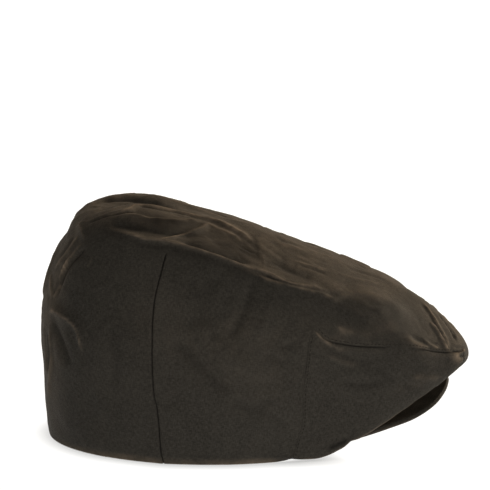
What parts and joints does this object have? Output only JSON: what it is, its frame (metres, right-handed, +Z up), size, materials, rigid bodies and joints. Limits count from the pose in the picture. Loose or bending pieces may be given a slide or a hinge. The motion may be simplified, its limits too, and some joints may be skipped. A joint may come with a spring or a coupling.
{
  "type": "waxed flat cap",
  "caption": "Soft flat cap of waxed cotton: a darted crown that falls forward over a short curved peak, open below for the head.",
  "frame": {"origin": "on the surface that the hem rests on, under the middle of the cap's box", "axes": "+X forward, out over the peak; +Y to the wearer's left; +Z up out of the top of the crown"},
  "size_m": [0.2846, 0.1781, 0.1608],
  "materials": {
    "waxed_cotton": "waxed, low sheen",
    "peak_cloth": "waxed, low sheen"
  },
  "bodies": {
    "root": {"crown": "waxed_cotton", "front_panel_left": "waxed_cotton", "front_panel_right": "waxed_cotton", "peak": "peak_cloth"}
  },
  "joints": []
}
